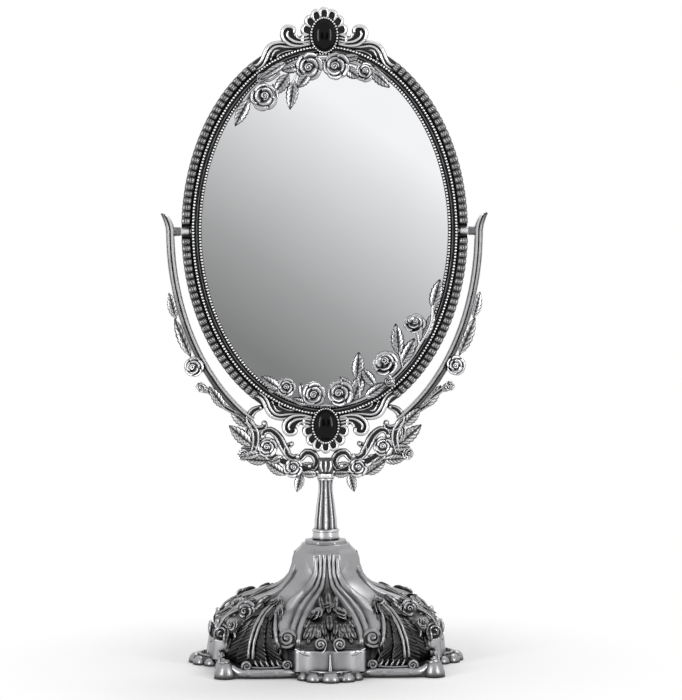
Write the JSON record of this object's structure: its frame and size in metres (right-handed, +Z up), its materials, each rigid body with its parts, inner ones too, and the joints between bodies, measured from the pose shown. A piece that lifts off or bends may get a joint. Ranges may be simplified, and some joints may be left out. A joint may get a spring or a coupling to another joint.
{
  "type": "tilting vanity mirror",
  "caption": "Free-standing double-sided oval vanity mirror that tilts in a yoke on a fluted stem and a domed rococo base, cast metal with rose sprays and black cabochons.",
  "frame": {"origin": "centre of the footprint, on the table", "axes": "+Z up, the front of the mirror faces -Y, +X to the viewer's right"},
  "size_m": [0.1864, 0.1588, 0.37],
  "materials": {
    "antique_pewter": "antique pewter plate on a cast zinc alloy, recesses blackened, high edges burnished",
    "burnished_pewter": "antique pewter plate, burnished lighter than the frame",
    "black_stone": "polished black resin cabochon",
    "silvered_glass": "back-silvered float glass",
    "plated_steel": "pewter-toned plate",
    "fibreboard": "raw hardboard",
    "black_plate": "black enamel",
    "felt": "black wool felt"
  },
  "bodies": {
    "stand": {"base_shell_front": "antique_pewter", "base_shell_right": "antique_pewter", "base_shell_back": "antique_pewter", "base_shell_left": "antique_pewter", "felt_pad": "felt", "base_plate": "black_plate", "yoke": "antique_pewter", "stem": "antique_pewter", "stem_collar": "antique_pewter", "left_pivot_pin": "plated_steel", "left_pivot_spacer": "plated_steel", "left_spring_washer": "plated_steel", "right_pivot_pin": "plated_steel", "right_pivot_spacer": "plated_steel", "right_spring_washer": "plated_steel", "stem_tie_rod": "plated_steel", "tie_rod_nut": "plated_steel", "tie_rod_washer": "plated_steel"},
    "mirror": {"front_frame": "antique_pewter", "rear_frame": "antique_pewter", "backing_board": "fibreboard", "front_glass": "silvered_glass", "rear_magnifying_glass": "silvered_glass", "front_upper_rose_spray": "burnished_pewter", "front_lower_rose_spray": "burnished_pewter", "rear_upper_rose_spray": "burnished_pewter", "rear_lower_rose_spray": "burnished_pewter", "front_upper_cabochon": "black_stone", "front_lower_cabochon": "black_stone", "rear_upper_cabochon": "black_stone", "rear_lower_cabochon": "black_stone", "left_swivel_barrel": "plated_steel", "right_swivel_barrel": "plated_steel", "upper_frame_screw": "plated_steel", "lower_frame_screw": "plated_steel"}
  },
  "joints": [
    {"name": "mirror_tilt", "type": "hinge", "parent": "stand", "child": "mirror", "pos_m": [0, 0, 0.2442], "axis": [1, 0, 0], "continuous": true}
  ]
}
